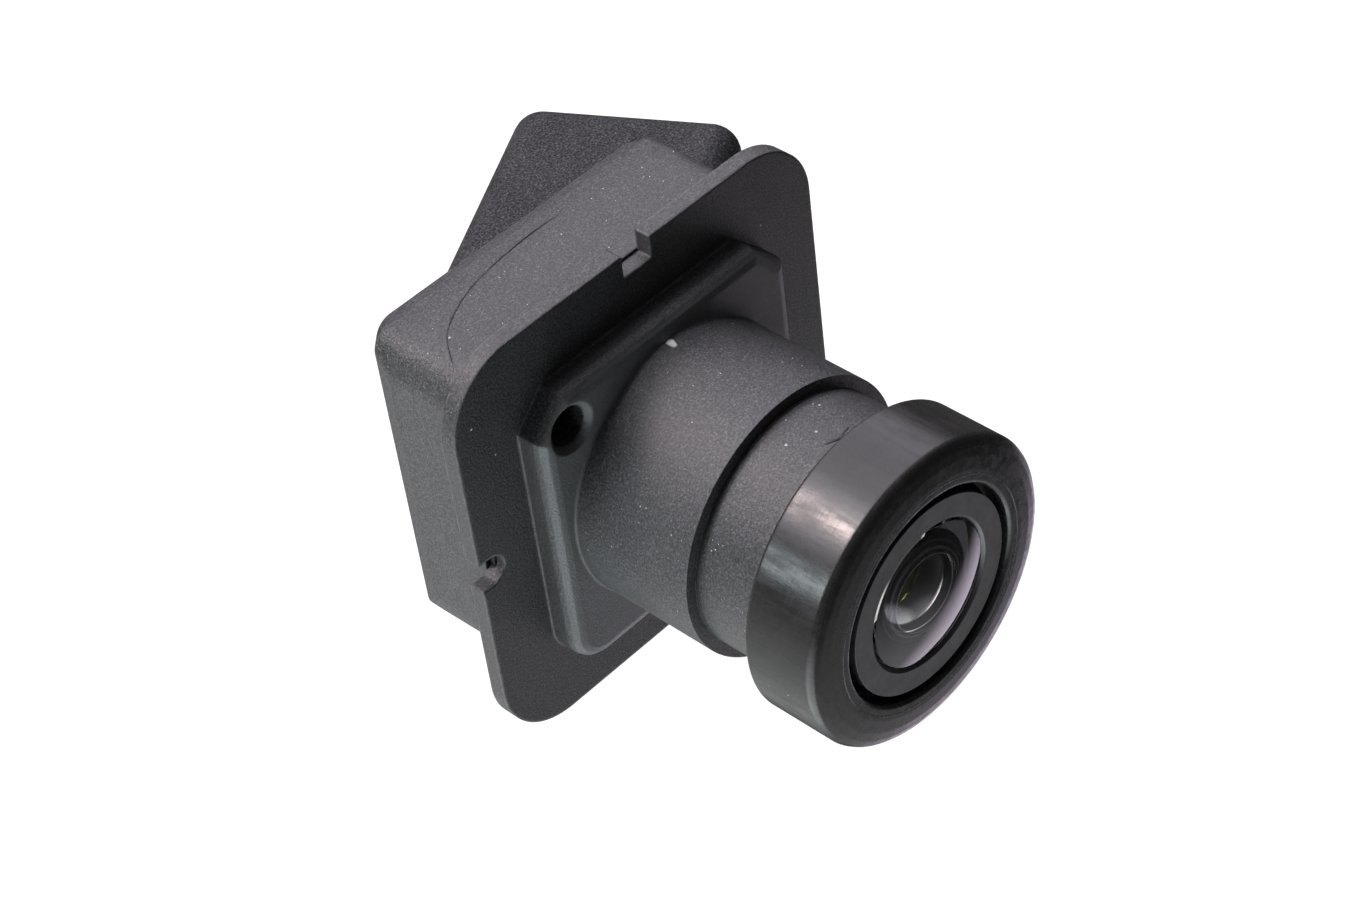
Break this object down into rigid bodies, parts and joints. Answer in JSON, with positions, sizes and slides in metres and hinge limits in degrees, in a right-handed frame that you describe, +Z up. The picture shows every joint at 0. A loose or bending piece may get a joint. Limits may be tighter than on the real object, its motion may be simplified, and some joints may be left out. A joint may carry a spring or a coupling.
{
  "type": "rear view camera module",
  "caption": "Fixed camera module with a square flange, stepped barrel, wide-angle lens, rear housing and angled connector.",
  "frame": {"origin": "where the lens axis crosses the front face of the flange", "axes": "-Y points the way the lens looks, +Z points up, +X is to the right of someone facing the lens"},
  "size_m": [0.0361, 0.0481, 0.0358],
  "materials": {
    "housing_plastic": "moulded black plastic with a fine matte grain",
    "ring_plastic": "smooth satin black",
    "lens_metal": "satin black anodised, finely turned",
    "lens_glass": "polished with a violet coating",
    "filter_glass": "polished, faint cyan",
    "seal_rubber": "soft matte",
    "holder_plastic": "matte black",
    "circuit_board": "green solder mask",
    "sensor_die": "dark polished die",
    "chip_epoxy": "moulded epoxy",
    "part_ceramic": "tan ceramic",
    "plug_plastic": "cream plastic",
    "spacer_brass": "turned",
    "screw_steel": "zinc plated",
    "terminal_tin": "plated"
  },
  "bodies": {
    "housing": {"front_housing": "housing_plastic", "rear_housing": "housing_plastic", "housing_seal": "seal_rubber", "end_ring": "ring_plastic", "lens_holder": "holder_plastic", "ir_filter": "filter_glass", "image_sensor": "sensor_die", "sensor_glass": "lens_glass", "sensor_board": "circuit_board", "sensor_parts": "part_ceramic", "holder_screws": "screw_steel", "board_plug": "plug_plastic", "board_socket": "plug_plastic", "board_spacers": "spacer_brass", "main_board": "circuit_board", "processor_chip": "chip_epoxy", "main_board_parts": "part_ceramic", "board_screws": "screw_steel", "pin_carrier": "holder_plastic", "terminals": "terminal_tin"},
    "seal_carriage": {"lens_seal": "seal_rubber"},
    "lens": {"lens_barrel": "lens_metal", "lens_retainer": "lens_metal", "front_glass": "lens_glass", "second_lens": "lens_glass", "first_spacer": "lens_metal", "third_lens": "lens_glass", "second_spacer": "lens_metal", "aperture_stop": "lens_metal", "fourth_lens": "lens_glass", "rear_spacer": "lens_metal"}
  },
  "joints": [
    {"name": "focus_advance", "type": "slide", "parent": "housing", "child": "seal_carriage", "axis": [0, -1, 0], "range_m": [-0.00013, 0.00013]},
    {"name": "focus_turn", "type": "hinge", "parent": "seal_carriage", "child": "lens", "pos_m": [0, 0, 0], "axis": [0, -1, 0], "range_deg": [-90, 90]}
  ],
  "couplings": [
    {"joint": "focus_advance", "follows": "focus_turn", "m_per_rad": 0.000079577}
  ]
}
